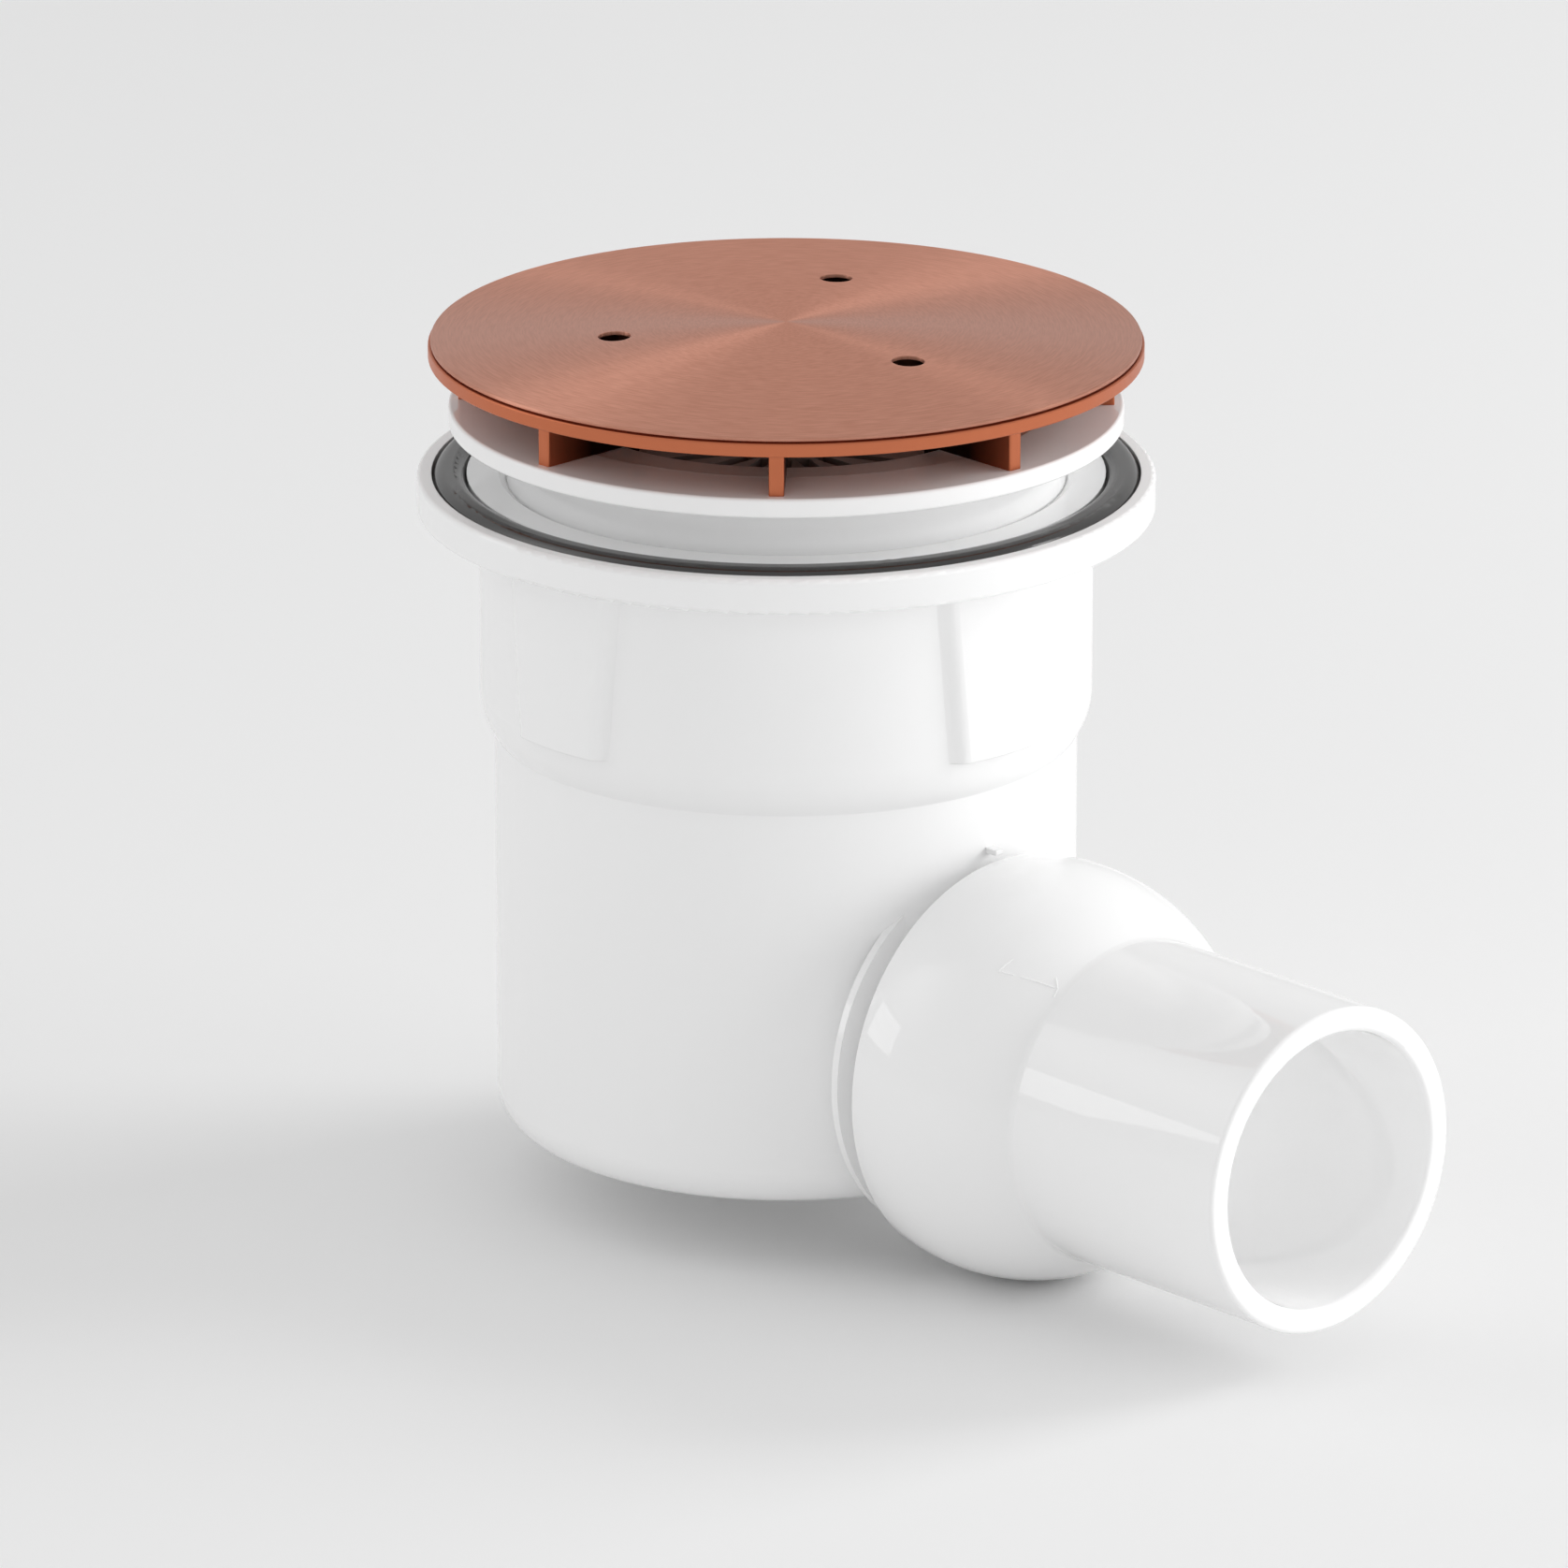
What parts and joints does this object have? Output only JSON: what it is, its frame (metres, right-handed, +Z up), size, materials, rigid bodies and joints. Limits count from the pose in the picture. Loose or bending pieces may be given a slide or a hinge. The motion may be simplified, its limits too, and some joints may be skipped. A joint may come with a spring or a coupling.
{
  "type": "shower trap",
  "caption": "Shower trap with a domed round cover on a finned carrier, a clamping flange, a tray gasket, a deep cup and a swivelling spigot outlet on a ball near its base.",
  "frame": {"origin": "centre of the flat base of the trap body's cup", "axes": "+Z up through the cup, clamping flange and cover, +X along the outlet spigot, away from the cup"},
  "size_m": [0.1733, 0.1124, 0.1378],
  "materials": {
    "brushed_copper": "circular brushed, copper coloured",
    "copper_plastic": "satin, copper coloured",
    "white_plastic": "glossy",
    "inner_plastic": "satin",
    "rubber": "matte"
  },
  "bodies": {
    "trap": {"cover_plate": "brushed_copper", "cover_carrier": "copper_plastic", "clamp_flange": "white_plastic", "neck_ring": "rubber", "strainer": "inner_plastic", "dip_tube": "inner_plastic", "skirt_ring": "rubber", "seal_cup": "inner_plastic", "tray_gasket": "rubber", "trap_body": "white_plastic"},
    "slip": {"slip_ring": "inner_plastic"},
    "seal": {"ball_seal": "rubber", "retaining_ring": "white_plastic"},
    "outlet": {"swivel_outlet": "white_plastic"}
  },
  "joints": [
    {"name": "outlet_yaw", "type": "hinge", "parent": "trap", "child": "slip", "pos_m": [0.0546, 0, 0.02155], "axis": [0, 0, 1], "range_deg": [-9, 9]},
    {"name": "outlet_pitch", "type": "hinge", "parent": "slip", "child": "seal", "pos_m": [0.0546, 0, 0.02155], "axis": [0, 1, 0], "range_deg": [-4, 5]},
    {"name": "outlet_spin", "type": "hinge", "parent": "seal", "child": "outlet", "pos_m": [0.0546, 0, 0.02155], "axis": [1, 0, 0], "continuous": true}
  ]
}
